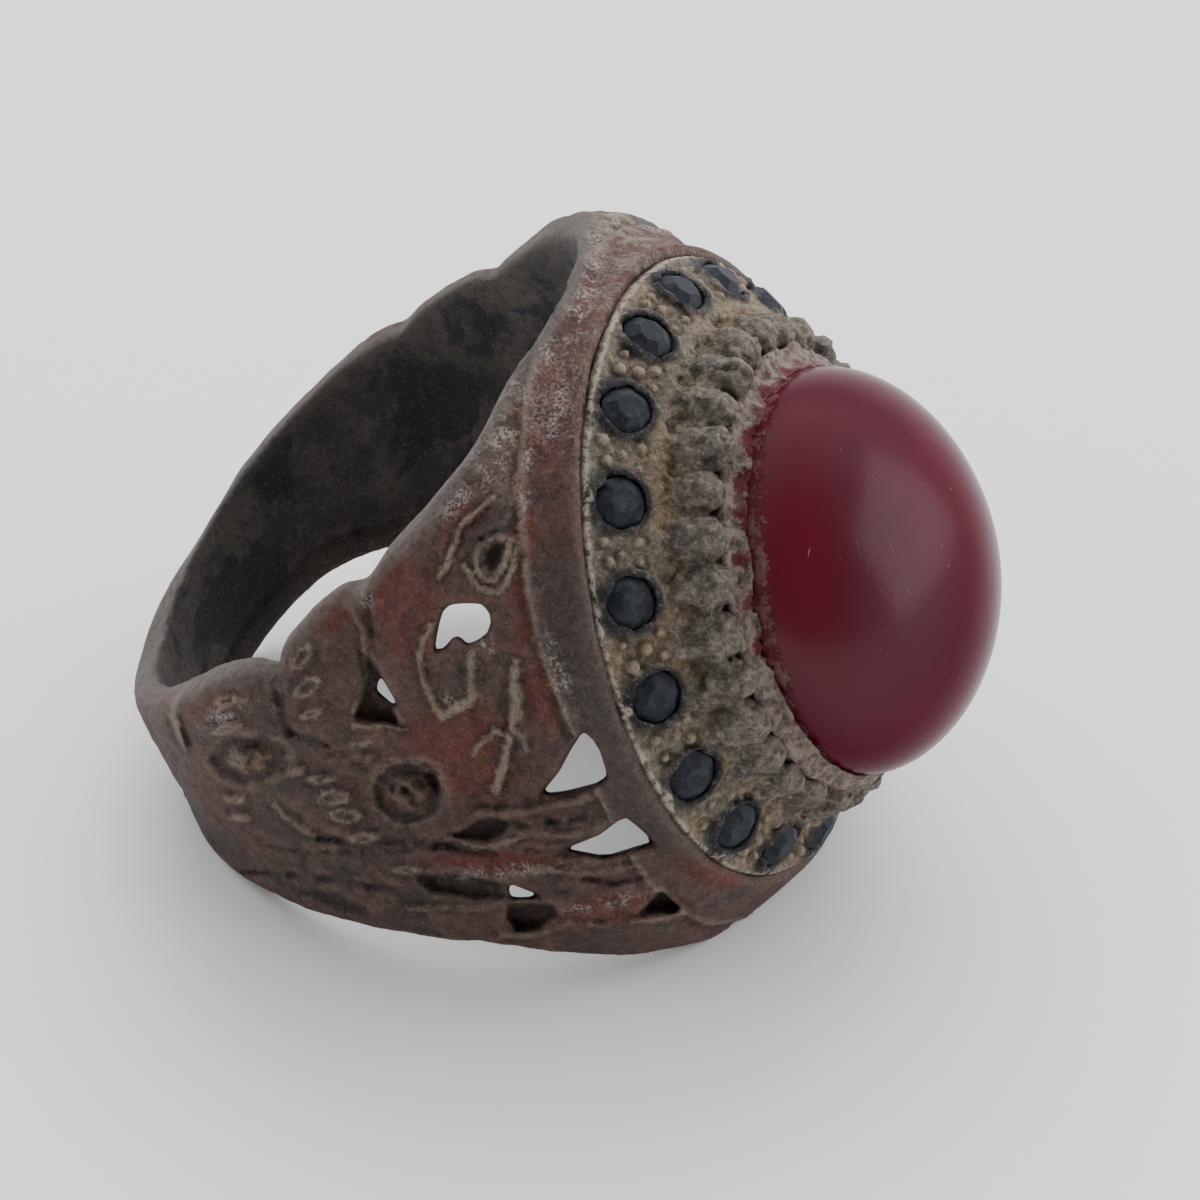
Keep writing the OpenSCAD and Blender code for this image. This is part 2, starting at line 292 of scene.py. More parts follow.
# Raised lines: (height, half width, how much pale crust they carry, points)
RIDGES = [
    (0.26, 0.08, 1, [(-0.1, 1.3), (0.1, 1.6), (0.35, 2.2), (0.62, 2.95)]),
    (0.24, 0.1, 0.7, [(0.62, 2.95), (0.8, 3.12), (1.1, 3.35), (1.6, 3.8)]),
    (0.16, 0.09, 0.9, [(3.12, 5.2), (3.05, 4), (2.96, 3), (2.95, 2), (3, 1), (3.1, 0.4),
        (3.25, -0.3), (3.45, -1.1), (3.6, -1.8), (3.75, -2.6)]),
    (0.1, 0.08, 0.4, [(2.45, 5.2), (2.25, 3.9), (2.1, 3.2)]),
    (0.18, 0.08, 0.8, [(0.65, 1.7), (0.9, 1.35), (1.1, 1), (1.4, 0.92), (1.75, 0.85), (2, 1.1),
        (2.22, 1.6), (2.36, 2.2), (2.3, 2.55)]),
    (0.16, 0.08, 0.8, [(1.05, 1.85), (1.12, 1.4), (1.35, 1.18), (1.62, 1.22), (1.9, 1.6), (2.06, 2.05),
        (2.12, 2.5), (1.6, 2.55), (1.15, 2.25), (1.05, 1.85)]),
    (0.18, 0.11, 0.9, [(-0.35, -0.2), (-0.6, -0.7), (-0.7, -1.2), (-0.62, -1.8), (-0.45, -2.3),
        (-0.2, -2.8), (-0.05, -3.05), (0.3, -2.9), (0.75, -2.65), (0.95, -2.4), (0.9, -1.8),
        (0.92, -1.1)]),
    (0.2, 0.12, 1, [(2.3, -1.35), (2.25, -2), (2.32, -2.6), (2.2, -3), (2.15, -3.6), (2, -4.2),
        (1.78, -5), (1.62, -5.45)]),
    (0.16, 0.22, 0.95, [(2.3, -2.2), (2.32, -2.6), (2.28, -3.05)]),
    (0.15, 0.08, 0.9, [(2.1, -3.75), (1.7, -3.5), (1.5, -3.62), (1.2, -3.9), (0.95, -4.3)]),
    (0.12, 0.08, 0.7, [(2.25, -3.5), (2.45, -3.7), (2.65, -4.2)]),
    (0.15, 0.11, 0.2, [(-3, 0.6), (-2.75, 0.15), (-2.5, -0.3), (-2.45, -0.8)]),
    (0.16, 0.08, 0.6, [(-2.5, -0.9), (-2.48, -1.8), (-2.62, -2.5), (-2.85, -2.95)]),
    (0.16, 0.07, 0.8, [(-2.9, -3.35), (-2.3, -3.42), (-1.9, -3.3), (-1.5, -3.4), (-1.1, -3.48)]),
    (0.14, 0.06, 0.4, [(-1.5, -2.8), (-1.3, -3.3)]),
    (0.1, 0.05, 0.8, [(-2.9, -4), (-2.5, -3.95), (-2.2, -3.78)]),
    (0.12, 0.1, 0.15, [(-3.6, -4.5), (-3, -4.45), (-2.3, -4.35)]),
    (0.18, 0.12, 0.6, [(-8.35, -2.2), (-8.6, -2.6), (-8.68, -3.1), (-8.5, -3.7), (-8.35, -4.1)]),
    (0.12, 0.11, 0.3, [(-5.45, -5.9), (-5.2, -6.3), (-4.6, -6.7), (-4.2, -6.9)]),
    (0.15, 0.07, 0.6, [(0.6, -7.15), (1.5, -7.2), (2.2, -7), (2.5, -6.85)]),
    (0.22, 0.14, 0.15, [(1, -6.15), (2.2, -6.15), (3.4, -5.9), (4.4, -5.7), (5.05, -5.3)]),
    (0.12, 0.11, 0.2, [(2.4, -6.75), (3.6, -6.85), (4.6, -6.75), (5.6, -6.15)]),
    (0.14, 0.1, 0.3, [(1.8, -10.1), (2.8, -10.15), (3.4, -9.9), (4, -9.65)]),
    (0.16, 0.1, 0.4, [(5.9, -9.62), (7, -9.55), (8.3, -9.15), (9.1, -8.7)]),
    (0.12, 0.08, 0.5, [(4.6, -9.72), (5.3, -9.66)]),
    (0.13, 0.12, 0.15, [(3.5, -8), (4.6, -8.05), (5.8, -7.85), (6.9, -7.35)]),
    (0.12, 0.11, 0.15, [(-1.2, -9.3), (0, -9.2), (1.2, -9.25), (1.8, -9)]),
]

# Cut lines: (depth, half width, points)
GROOVES = [
    (0.14, 0.08, [(2.6, -7.3), (3.6, -7.45), (4.2, -7.5)]),
    (0.16, 0.1, [(4.5, -8.2), (5.3, -8.35), (6.5, -8.15), (7, -7.8)]),
    (0.14, 0.08, [(5.25, -5.3), (5.6, -5.8), (6.3, -6.2)]),
    (0.2, 0.16, [(2, -6.5), (3, -6.45), (4.2, -6.3), (5.2, -5.95)]),
    (0.16, 0.14, [(-4, -7), (-3, -7.2), (-1.5, -7.1), (0.2, -7.25), (1.6, -7.45)]),
    (0.06, 0.12, [(-9.35, -4.5), (-8.75, -5.5), (-8.15, -6.5), (-7.3, -7.6)]),
    (0.16, 0.14, [(-5.25, -1), (-5.3, -2), (-5.15, -2.9), (-4.9, -3.6)]),
    (0.12, 0.1, [(-2.2, 0.9), (-2.35, 0.3), (-2.2, -0.4)]),
    (0.12, 0.1, [(-4.8, -3.6), (-3.6, -4.05), (-2.4, -4.75)]),
    (0.1, 0.1, [(-6, -7.2), (-4.5, -7.5), (-2.5, -7.45), (-0.5, -7.3), (0.4, -7.1)]),
    (0.12, 0.08, [(1.1, 2.35), (1.6, 2.7), (2.1, 2.8)]),
    (0.12, 0.1, [(-6.6, -8.2), (-5, -8.2), (-3.4, -8.4), (-1.6, -8.7)]),
]

# Petals with a dimple: (centre x, y, half length, half width, turn in degrees)
PETALS = [
    (-4.45, -1.2, 0.48, 0.2, 55), (-4.3, -2.15, 0.48, 0.22, 35), (-4.2, -3, 0.36, 0.14, 20),
    (-6.95, -3.5, 0.52, 0.13, 20), (-3.95, -5.1, 0.38, 0.12, 0), (-3.5, -5.65, 0.52, 0.22, 3),
    (-3.15, -6.25, 0.5, 0.22, 0), (-4.7, -4.85, 0.22, 0.12, 30), (-6.8, -5.8, 0.34, 0.12, -5),
    (-6.6, -6.4, 0.3, 0.1, 0), (-6.9, -2.6, 0.4, 0.16, 10), (-2.6, -7, 0.5, 0.15, 5),
    (-1.2, -8, 0.45, 0.12, 0), (3.1, -7.95, 0.4, 0.12, 5),
]

# Rough bosses, each in a shallow hollow: (centre x, y, half length, half width, ochre)
BOSSES = [(-6.3, -4.45, 0.72, 0.42, 1), (-1.15, -5.5, 0.72, 0.66, 0.15)]

# Streaks of light scale: (centre x, y, half length, half width, turn)
SCALES = [(1.7, 5.6, 0.7, 2, -25), (3.3, 8.8, 0.6, 2, -30), (2.6, 4.6, 0.3, 1.5, -5),
          (2.3, 7.6, 0.7, 1.8, -30), (4.4, 10, 0.4, 1.6, -30), (3.6, 6.6, 0.25, 1.6, -12),
          (0.6, 3.9, 0.4, 1.2, -40), (3.6, -1.8, 0.3, 1.6, 15), (6.2, 12.4, 0.9, 0.4, 10),
          (-2.5, 0.7, 0.3, 0.5, 30), (-7.1, -3.1, 1, 0.35, 30), (1.4, -0.8, 0.3, 0.4, 0),
          (2, -8, 2.2, 0.25, 5), (5.2, -9, 1.8, 0.25, 10), (0.4, -2.6, 0.5, 0.35, 0)]

# Broad swellings, such as the leaf tips of the rim: (x, y, radius, height)
SWELLS = [(-4.2, -1.6, 1.5, 0.22), (-7.1, -3.4, 1.5, 0.2), (-0.8, -0.2, 1.6, 0.12),
          (0.3, -4.3, 1.5, 0.12), (5, -9.2, 1.5, 0.12), (-3.6, -6.2, 1.6, 0.1)]

# Areas rubbed down to red copper: (centre x, y, half length, half width, turn)
RED_AREAS = [(2.55, 1.6, 0.4, 3.2, 0), (-1.3, 0.4, 1.2, 1.7, 20), (0.4, -3.7, 1.7, 1.1, 10),
             (3.05, -2.4, 0.6, 1.3, 15), (-3.4, 0.2, 0.8, 0.5, 40), (5.4, -9.2, 2.2, 0.5, 5),
             (8.3, -8, 1.3, 0.45, -25), (-7.4, -2.6, 0.9, 0.5, 20), (1.6, -7.7, 2.4, 0.35, 0),
             (1, -5, 1.4, 0.6, 0), (-9.3, -2.6, 0.8, 0.9, 0), (0.6, 3, 0.9, 0.5, 50)]

# Worn lines over the crest of the far shoulder, on the same plane but not mirrored
CREST_LINES = [[(5.1, 13), (5.5, 13.05), (6, 12.75)], [(5, 12.75), (5.5, 12.7), (6.2, 12.4)],
               [(5.1, 12.45), (5.6, 12.3), (6, 12.2)], [(5.6, 12.05), (6.2, 12.2), (6.7, 12.2)],
               [(4.7, 13.1), (4.85, 12.7), (4.9, 12.3)]]


def sample(chart, x, y):
    """Values of a chart (drawn on the slanted plane) at any points of that plane."""
    i = np.clip((x - CHART_X[0]) / CHART_STEP, 0, chart.shape[0] - 1.001)
    j = np.clip((y - CHART_Y[0]) / CHART_STEP, 0, chart.shape[1] - 1.001)
    i0, j0 = i.astype(np.int32), j.astype(np.int32)
    fi, fj = i - i0, j - j0
    return ((chart[i0, j0] * (1 - fi) + chart[i0 + 1, j0] * fi) * (1 - fj)
            + (chart[i0, j0 + 1] * (1 - fi) + chart[i0 + 1, j0 + 1] * fi) * fj)


def behind_tips(x, y):
    """How far along the chart, on a line aslant like the edge between leaf tips and plain back."""
    return x + 0.12 * (y + 3)


def draw_charts():
    """Height of the ornament, distance to the openings, and masks for the finish."""
    x, y = CHART_X[:, None], CHART_Y[None, :]
    shape = (len(CHART_X), len(CHART_Y))
    height, pale, dark, ochre, scale, red = (np.zeros(shape, np.float32) for _ in range(6))
    wear = sum(noise((*shape, 1), cell, 30 + cell)[:, :, 0] for cell in (5, 10, 22)) / 1.5
    for cx, cy, r, h in SWELLS:
        height += h * np.exp(-((x - cx) ** 2 + (y - cy) ** 2) / (r * r))
    for outline, depth in HOLLOWS:
        d = polygon_distance(x, y, outline)
        height -= depth * 1.2 * step(0.06, -0.16, d)
        dark = np.maximum(dark, step(0.1, -0.12, d))
    for depth, half, points in GROOVES:
        d = polyline_distance(x, y, points) + 0.04 * wear
        fade = np.clip(0.7 + 0.9 * wear, 0.1, 1.5)
        height -= depth * 1.4 * fade * hump(d, half)
        dark = np.maximum(dark, 0.5 * fade * hump(d, half * 1.3))
    for rise, half, crust, points in RIDGES:
        # worn unevenly, so neither the width nor the height stays the same
        d = polyline_distance(x, y, points) + 0.05 * wear
        height += rise * (1.1 + 0.5 * wear) * step(half * 1.6, half * 0.2, d)
        height -= 0.05 * step(half * 2.8, half * 1.6, d)
        pale = np.maximum(pale, crust * step(half * 1.3, half * 0.5, d))
    for cx, cy, rx, ry, turn in PETALS:
        d = oval_distance(x, y, cx, cy, rx, ry, turn)
        height += 0.16 * step(0.08, -0.03, d) - 0.14 * step(-0.05, -0.12, d)
        pale = np.maximum(pale, 0.8 * step(0.03, -0.02, d) * (1 - 0.8 * step(-0.04, -0.10, d)))
    for cx, cy, rx, ry, tint in BOSSES:
        d = oval_distance(x, y, cx, cy, rx, ry, 0) + 0.10 * wear
        height += 0.26 * step(0.12, -0.25, d) * (1 + 1.6 * wear) - 0.26 * step(0.5, 0.1, d)
        ochre = np.maximum(ochre, tint * step(0.16, -0.04, d))
        pale = np.maximum(pale, 0.4 * hump(d - 0.42, 0.07))
        dark = np.maximum(dark, step(0.38, 0.15, d) * step(-0.05, 0.08, d) * 0.8)
    for cx, cy, rx, ry, turn in SCALES:
        scale = np.maximum(scale, step(0.3, -0.6, oval_distance(x, y, cx, cy, rx, ry, turn)
                                       / min(rx, ry)))
    # the back of the band, past the last leaf tip, lies a little lower
    height -= 0.08 * step(-8.3, -8.9, behind_tips(x, y))
    open_d = np.full(shape, FAR, np.float32)
    for outline in OPENINGS.values():
        open_d = np.minimum(open_d, polygon_distance(x, y, outline))
    for cx, cy, rx, ry, turn in RED_AREAS:
        d = oval_distance(x, y, cx, cy, rx, ry, turn) / min(rx, ry)
        red = np.maximum(red, step(0.35, -0.5, d))
    return height, open_d, pale, dark, red, ochre, scale


HEIGHT, OPEN_D, PALE, DARK, RED, OCHRE, SCALE = draw_charts()

# Upper rims: (distance towards the head, height above the plane w = 0)
UP_NEAR = [(-11.5, 1.8), (-9.6, 2.1), (-8.2, 2.75), (-6.2, 3.65), (-5, 4.25), (-4.1, 4.75),
           (-3, 5.2), (-1.9, 5.5), (-1.1, 5.6), (-0.45, 5.25), (-0.15, 5.15), (0.05, 5.6),
           (0.3, 6.1), (1, 6.55), (1.9, 7.05), (2.7, 7.4), (3.2, 7.4), (3.5, 7.15), (4, 7.5),
           (4.6, 8), (6.1, 8.75), (7.5, 9.5), (8.6, 10.3), (9.7, 11.05), (12, 11.1)]
UP_FAR = [(-11.5, 1.8), (-9.6, 2.6), (-8.2, 3.75), (-7.3, 4.15), (-6.4, 4.5), (-5.5, 4.87),
          (-4.4, 5.27), (-3.4, 5.52), (-2.8, 5.6), (-2.45, 5.52), (-2.2, 5.72), (-1.7, 6.02),
          (-0.9, 6.28), (0.1, 6.65), (0.7, 6.85), (1.2, 6.88), (1.6, 6.76), (1.9, 7),
          (2.4, 7.3), (3.2, 7.65), (3.9, 8.05), (4.9, 8.6), (6.1, 9.1), (7.5, 9.75),
          (8.6, 10.5), (9.7, 11.1), (12, 11.1)]
GROUND_SLOPE = math.tan(math.radians(LIE))
GROUND_POINT = (-10.3, -1.8)  # u and w of a point of the ground that the ring lies on
# Lower rims: (distance towards the head, height above the ground that the ring lies on)
LOW_NEAR = [(-11.5, -0.4), (-8.7, -0.3), (-7, 0.25), (-5.2, 0.68), (-2.7, 1.08), (0, 1.25),
            (2.7, 1.28), (5, 1.05), (6.6, 0.45), (7.9, -0.3), (12, -0.4)]
LOW_FAR = [(-11.5, -0.4), (-10, -0.3), (-9.5, 0.5), (-9.1, 1), (-8.3, 1.65), (-7.3, 2.25),
           (-6.3, 2.5), (-4.6, 2.68), (-2.5, 2.72), (0, 2.45), (2.7, 1.85), (5, 1.2), (7.9, -0.3),
           (12, -0.4)]
# Bell that rounds the head: (height above the plane of the crown's edge, radius)
BELL = [(-30, 12.35), (-9, 12.35), (-4.5, 12.15), (-2.2, 11.6), (-1, 10.8), (-0.35, 10.4),
        (0, 10.15), (3, 8.2)]
BELL_SHIFT = -0.2  # its axis lies a little nearer the ground than the crown's
REAR_BLEND = 2.2  # half width of the zone at the back where the near rims turn into the far ones


def along(table, x):
    """Value of a two-column table at x, rounded a little at its corners."""
    xs, ys = zip(*table)
    spread = [np.interp(x + d, xs, ys) for d in (-0.25, -0.1, 0, 0.1, 0.25)]
    return np.mean(spread, axis=0).astype(np.float32)


def ground_below(u):
    """Distance from the plane w = 0 down to the ground that the ring lies on."""
    return (u - GROUND_POINT[0]) * GROUND_SLOPE - GROUND_POINT[1]


def rims(u, v):
    """Height of the upper rim and depth of the lower rim, from the plane w = 0."""
    near = step(REAR_BLEND, -REAR_BLEND, v)
    up = along(UP_NEAR, u) * near + along(UP_FAR, u) * (1 - near)
    return up, ground_below(u) - along(LOW_NEAR, u) * near - along(LOW_FAR, u) * (1 - near)


def head_place(u, w):
    """Height above the crown's edge plane, and distance along that plane from its centre."""
    c, s = math.cos(math.radians(HEAD_TILT)), math.sin(math.radians(HEAD_TILT))
    return c * (u - HEAD_U) - s * w, s * (u - HEAD_U) + c * w


def slanted(u, v, w, mirrored=True):
    """Chart coordinates of points in ring coordinates; the far shoulder is the mirror image."""
    if mirrored:
        v = -abs(v)
    return tuple(a[0] * u + a[1] * v + a[2] * w for a in (SLANT_X, SLANT_Y))


def build_shank():
    """The casting: band, pierced and decorated shoulders, and the collar under the crown."""
    voxel = 0.12
    corner = (-10.9, -11.0, -11.6)
    top = (10.7, 11.0, 11.6)
    u, v, w, shape = grid_of(corner, top, voxel)
    radius = np.hypot(u, v)
    flare_cos, rim_cos = 0.97, 0.91  # make distances of what is measured across slanted faces

    # seen along the finger: round behind, straight sides in front
    r = BORE_R + SIDE_WALL
    off = SIDE_WALL - BACK_WALL
    plan = np.where(u < off, np.hypot(u - off, v) - r, abs(v) - r)
    # the bell that rounds the head, about the head's own axis
    h, a = head_place(u, w)
    head_r = np.hypot(a, v)
    bell_r = np.interp(h, *zip(*BELL)).astype(np.float32)
    bell = (np.hypot(a - BELL_SHIFT, v) - bell_r) * flare_cos
    side = smooth_max(np.broadcast_to(plan, shape), bell, 1.6)

    # ornament: none at the back's middle, on the collar or over the far shoulder's crest
    lumps = noise(shape, 12, 1) * 0.07 + noise(shape, 5, 2) * 0.05 + noise(shape, 2.5, 5) * 0.05
    x, y = slanted(u, v, w)
    relief = sample(HEIGHT, x + noise(shape, 9, 6) * 0.07, y + noise(shape, 9, 7) * 0.07)
    face = step(0.2, 2.0, abs(v)) * step(-0.9, -2.2, h) * (1 - step(0, 1, v) * step(6, 7.5, w))
    # the surface stands a little fuller than the solid's, most over the far shoulder's crest
    fuller = 0.08 + 0.25 * step(4, 7, v) * step(6.5, 8.5, w)
    # near the ground and at the back the casting is worn smooth
    ground = ground_below(u)
    footing = step(0.1, 1.3, w + ground) * step(-9.9, -8.5, u)
    side = side - relief * face * (0.35 + 0.65 * footing) - lumps * footing - fuller
    # a low bead and a groove part the smooth collar from the ornament
    side = side - 0.07 * hump(h + 1.40, 0.11)
    side = side + 0.10 * hump(h + 1.66, 0.13)

    # upper and lower rims, a little far out because rounding them takes that away again
    rim, low = rims(u, v)
    rim = rim + 0.12 + 0.35 * step(7.5, 9.2, u)
    low = low + 0.12
    wedge = np.maximum((w - rim) * rim_cos, (-w - low) * rim_cos)
    wedge = wedge - noise(shape, 10, 3) * 0.05 * step(-0.2, 0.4, w)
    body = smooth_max(side, wedge, 0.35)

    # collar under the crown, with a low lip round the crown's edge
    collar = smooth_max(head_r - COLLAR_R, -h - COLLAR_H, 0.25) - noise(shape, 6, 4) * 0.03
    body = smooth_min(body, collar, 0.2)
    body = smooth_max(body, h - 0.2, 0.3)
    body = np.maximum(body, np.minimum(h + 0.05, PLATE_R - head_r))

    # finger hole: its rims are worn round, and a groove runs inside along the lower rim
    above_low = w + low
    groove = 0.14 * hump(above_low - 1.0, 0.2)
    groove += 0.08 * hump(above_low - 1.75, 0.3)
    bore = BORE_R + groove - radius + (lumps - 0.05) * 0.4
    body = smooth_max(body, bore, 0.28)

    # openings, through the shoulders only
    opening = sample(OPEN_D, x, y)
    body = np.where(abs(v) > 2.5, smooth_max(body, 0.02 - opening, 0.22), body)
    # the flats that the ring lies on
    body = np.maximum(body, (-w - ground) * math.cos(math.radians(LIE)))

    thing, p = mesh_from_field("shank_casting", body, corner, voxel, RING_TO_WORLD, 0.02)
    # masks for the finish, with edges that waver a little
    px, py = slanted(*p.T)
    rng = np.random.default_rng(8)
    px, py = px + rng.normal(0, 0.03, len(px)), py + rng.normal(0, 0.03, len(px))
    bend = bend_of(body, corner, voxel, p)
    wall = np.hypot(p[:, 0], p[:, 1]) - BORE_R
    inner = step(0.45, 0.15, abs(wall))
    outer = 1 - inner
    ph, _ = head_place(p[:, 0], p[:, 2])
    band = step(-1.55, -1.3, ph) * outer
    grey_band = band * (1 - step(1.0, 3.0, py)) * (1 - step(-6.5, -8.5, py))
    bead = hump(ph + 1.42 + rng.normal(0, 0.03, len(p)), 0.09) * outer
    flat = slanted(*p.T, mirrored=False)
    crest = np.min([polyline_distance(*flat, line) for line in CREST_LINES], axis=0)
    crest = step(0.10, 0.02, crest) * step(0.3, 1.0, p[:, 1]) * outer
    p_rim, p_low = rims(p[:, 0], p[:, 1])
    above = p[:, 2] + p_low
    # inside, the lower edge is rubbed and its grooves are dark
    lip = step(1.0, 0.75, above) + 0.6 * hump(above - 1.35, 0.15)
    crevice = hump(above - 1.0, 0.15) + hump(above - 1.75, 0.25)
    paint(thing,
          pale=np.maximum(sample(PALE, px, py) * outer * (1 - band),
                          np.maximum(bead * 0.7, crest * 0.9)),
          dark=np.maximum(sample(DARK, px, py) * outer * (1 - band), inner * crevice * 0.6),
          red=np.maximum(sample(RED, px, py), 0.5 * step(2.0, 5.0, py) * step(1.8, 3.0, px)) * outer,
          inner=inner * (1 - 0.5 * np.clip(lip, 0, 1)),
          collar=grey_band,
          ochre=sample(OCHRE, px, py) * outer * (1 - band),
          scale=np.maximum(sample(SCALE, px, py), 0.4 * step(3, 6, py)) * outer,
          # edges and hollows of the surface, for painted highlight on the edges and painted shade in
          # the hollows
          edge=sharp(bend), hollow=sharp(-bend),
          rim=step(0.45, 0.1, p_rim - p[:, 2]),
          back=step(-8.2, -9.4, behind_tips(px, py)) * outer)
    return thing


def seat_place(x, y, z):
    """Place in the nearest side stone's seat: down the slope, round the crown, out of it."""
    r = np.hypot(x, y)
    at = (np.degrees(np.arctan2(y, x)) - 180 - SIDE_FIRST) / SIDE_PITCH
    turn = np.radians((at - np.round(at)) * SIDE_PITCH)
    a, rise = r * np.cos(turn) - SIDE_RING, z - PLATE_EDGE - (PLATE_R - SIDE_RING) * math.tan(SLOPE)
    sn, cs = math.sin(SLOPE), math.cos(SLOPE)
    return a * cs - rise * sn, r * np.sin(turn), a * sn + rise * cs


def build_crown():
    """The brass crown: sloping rim with stone seats and grains, and the bezel of lobes."""
    voxel = 0.095
    corner = (-10.6, -10.6, -0.3)
    top = (10.6, 10.6, 4.3)
    x, y, z, shape = grid_of(corner, top, voxel)
    r = np.hypot(x, y)
    rim = (r - PLATE_R) * math.sin(SLOPE) + (z - PLATE_EDGE) * math.cos(SLOPE)
    plate = np.maximum(np.maximum(r - PLATE_R, rim), z - RIM_TOP)
    edge_bead = np.hypot(r - PLATE_R + 0.05, z - PLATE_EDGE) - 0.06
    body = smooth_min(np.broadcast_to(plate, shape), edge_bead, 0.05)

    # five worn grains in each gap between the stones, each in a faint moat
    rng = np.random.default_rng(11)
    gap_at = (np.degrees(np.arctan2(y, x)) - 180 - SIDE_FIRST) / SIDE_PITCH
    grains = np.full(shape, 1.0, np.float32)
    gap_no = np.floor(gap_at).astype(int) % SIDE_COUNT
    from_gap = (gap_at - np.floor(gap_at) - 0.5) * SIDE_PITCH
    worn_away = rng.uniform(0.0, 0.18, SIDE_COUNT)[gap_no]
    for grain_r, grain_turn in GRAINS:
        gr = (grain_r + rng.uniform(-0.07, 0.07, SIDE_COUNT))[gap_no]
        gt = (grain_turn + rng.uniform(-0.4, 0.4, SIDE_COUNT))[gap_no]
        size = rng.uniform(0.13, 0.22, SIDE_COUNT)[gap_no]
        gz = PLATE_EDGE + (PLATE_R - gr) * math.tan(SLOPE) + rng.uniform(-0.03, 0.1) - worn_away
        across = r * np.radians(from_gap - gt)
        apart = np.sqrt((r - gr) ** 2 + across ** 2 + (z - gz) ** 2) - size
        body = body + 0.09 * hump(apart - 0.09, 0.08)
        body = np.minimum(body, apart)
        grains = np.minimum(grains, apart)

    # bezel wall and its lobes, leaning inwards; they differ in size and height
    bx, by = x - BEZEL_OFF[0], y - BEZEL_OFF[1]
    br = np.hypot(bx, by)
    lobe_at = np.degrees(np.arctan2(by, bx)) * LOBES / 360
    lobe_no = np.round(lobe_at).astype(int) % LOBES
    skew = rng.uniform(-0.05, 0.05, LOBES)[lobe_no]
    across = br * np.radians((lobe_at - np.round(lobe_at)) * 360 / LOBES) + skew
    size = rng.uniform(0.63, 0.78, LOBES)[lobe_no]
    turns = np.arange(LOBES) * 2 * math.pi / LOBES
    reach = (2.9 + rng.uniform(-0.12, 0.18, LOBES) - 0.3 * np.clip(np.sin(turns), 0, 1)
             + 0.15 * np.cos(turns + math.radians(160)))[lobe_no]
    zc = np.clip(z, RIM_TOP - 0.2, reach)
    rc = LOBE_RING - (zc - RIM_TOP) * math.tan(LOBE_LEAN)
    size = size * (0.92 + 0.12 * step(RIM_TOP, 2.8, zc))
    lobe = np.sqrt((br - rc) ** 2 + across ** 2 + (z - zc) ** 2) - size
    wall = np.maximum((br - 8.05 + (z - RIM_TOP + 0.4) * 0.27) * 0.96, z - 3.0)
    bezel = smooth_min(np.broadcast_to(wall, shape), lobe, 0.2)
    rough = step(8.6, 8.0, br)
    body = smooth_min(body, bezel, 0.35)
    lumps = (noise(shape, 9, 12) * 0.05 + noise(shape, 5, 13) * 0.06 + noise(shape, 3, 14) * 0.07
             + noise(shape, 2, 16) * 0.04)
    body = body - lumps * (0.35 + 0.65 * rough)
    # creases of the rough casting
    creases = hump(noise(shape, 7, 17), 0.10) + hump(noise(shape, 4, 18), 0.12)
    body = body + 0.07 * creases * rough

    # stone seats, each with an uneven lip pressed against the stone
    slope_way, round_way, out_way = seat_place(x, y, z)
    from_axis = np.hypot(slope_way, round_way)
    lip = np.hypot(from_axis - 0.94, out_way - 0.05) - 0.11 - noise(shape, 4, 15) * 0.13
    body = smooth_min(body, lip, 0.12)
    # the stone is eight-sided, so its seat is too
    side_turn = math.radians(45)
    corner_turn = np.arctan2(round_way, slope_way) / side_turn
    flat_turn = (corner_turn - np.floor(corner_turn) - 0.5) * side_turn
    flat_r = SIDE_R * math.cos(side_turn / 2)
    eight = from_axis * np.cos(flat_turn) - flat_r - 0.03 + 1.3 * np.clip(out_way, 0, 1)
    eight = eight + noise(shape, 3, 19) * 0.07
    body = np.maximum(body, -np.maximum(eight, -0.55 - out_way))
    # cavity for the main stone, its narrower throat, and the flat underside
    throat = np.hypot(x - THROAT_OFF[0], y - THROAT_OFF[1])
    body = np.maximum(body, np.minimum(np.minimum(CAVITY_R - br, THROAT_H - z),
                                       z - CAVITY_FLOOR))
    body = np.maximum(body, np.minimum(THROAT_R - throat, z - CAVITY_FLOOR))
    body = smooth_max(body, -z, 0.05)

    thing, p = mesh_from_field("crown_casting", body, corner, voxel, HEAD_TO_WORLD, 0.01)
    pr = np.hypot(p[:, 0], p[:, 1])
    pbr = np.hypot(p[:, 0] - BEZEL_OFF[0], p[:, 1] - BEZEL_OFF[1])
    surface = PLATE_EDGE + (PLATE_R - pr) * math.tan(SLOPE)
    # dirt round each stone has spread down the slope; soot clings right beside it
    slope_way, round_way, _ = seat_place(*p.T)
    seat_d = np.hypot(slope_way - 0.2, round_way) - SIDE_R
    soot_d = np.hypot(slope_way, round_way) - SIDE_R
    bend = bend_of(body, corner, voxel, p)
    at = np.round((p - np.array(corner)) / voxel).astype(int)
    grain = step(0.08, 0.0, grains[at[:, 0], at[:, 1], at[:, 2]])
    paint(thing,
          pale=step(9.93, 9.98, pr) * step(0.18, 0.24, p[:, 2]),
          stain=step(0.55, 0.05, seat_d),
          soot=step(0.24, 0.08, soot_d),
          grain=grain * step(-0.02, 0.06, p[:, 2] - surface),
          # edges and hollows of the surface, for painted highlight on the edges and painted shade in
          # the hollows
          edge=sharp(bend), hollow=sharp(-bend),
          lobe=step(0.05, 0.35, p[:, 2] - surface) * step(8.6, 8.3, pbr))
    return thing


